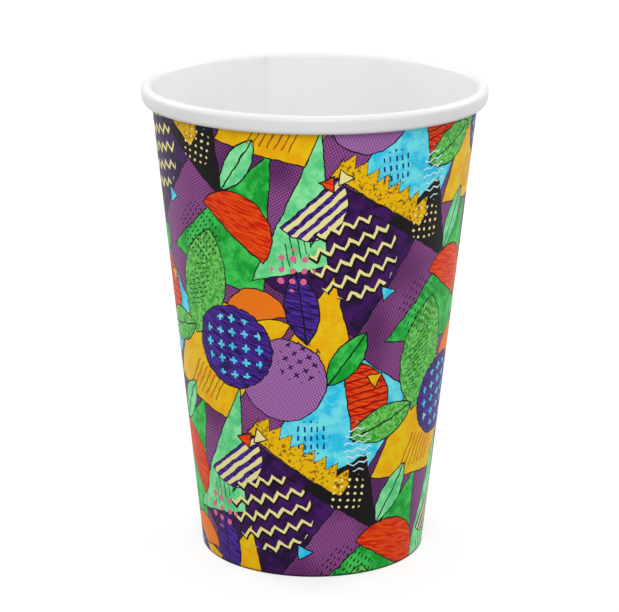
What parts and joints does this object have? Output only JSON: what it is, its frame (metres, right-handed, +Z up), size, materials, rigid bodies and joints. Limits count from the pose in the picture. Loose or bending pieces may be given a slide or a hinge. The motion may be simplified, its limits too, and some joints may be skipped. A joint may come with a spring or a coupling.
{
  "type": "paper cup",
  "caption": "Tapered paper cup with a rolled white rim, a lapped side seam, a recessed flanged base and a bold coloured print.",
  "frame": {"origin": "centre of the circle that the cup stands on, in the plane of the table", "axes": "+Z up along the cup's axis to the open mouth; +Y towards the back, where the side seam is; +X to the right when seen from the front"},
  "size_m": [0.0702, 0.0702, 0.098],
  "materials": {
    "printed_board": "satin",
    "base_board": "satin"
  },
  "bodies": {
    "root": {"sidewall": "printed_board", "bottom_disc": "base_board"}
  },
  "joints": []
}
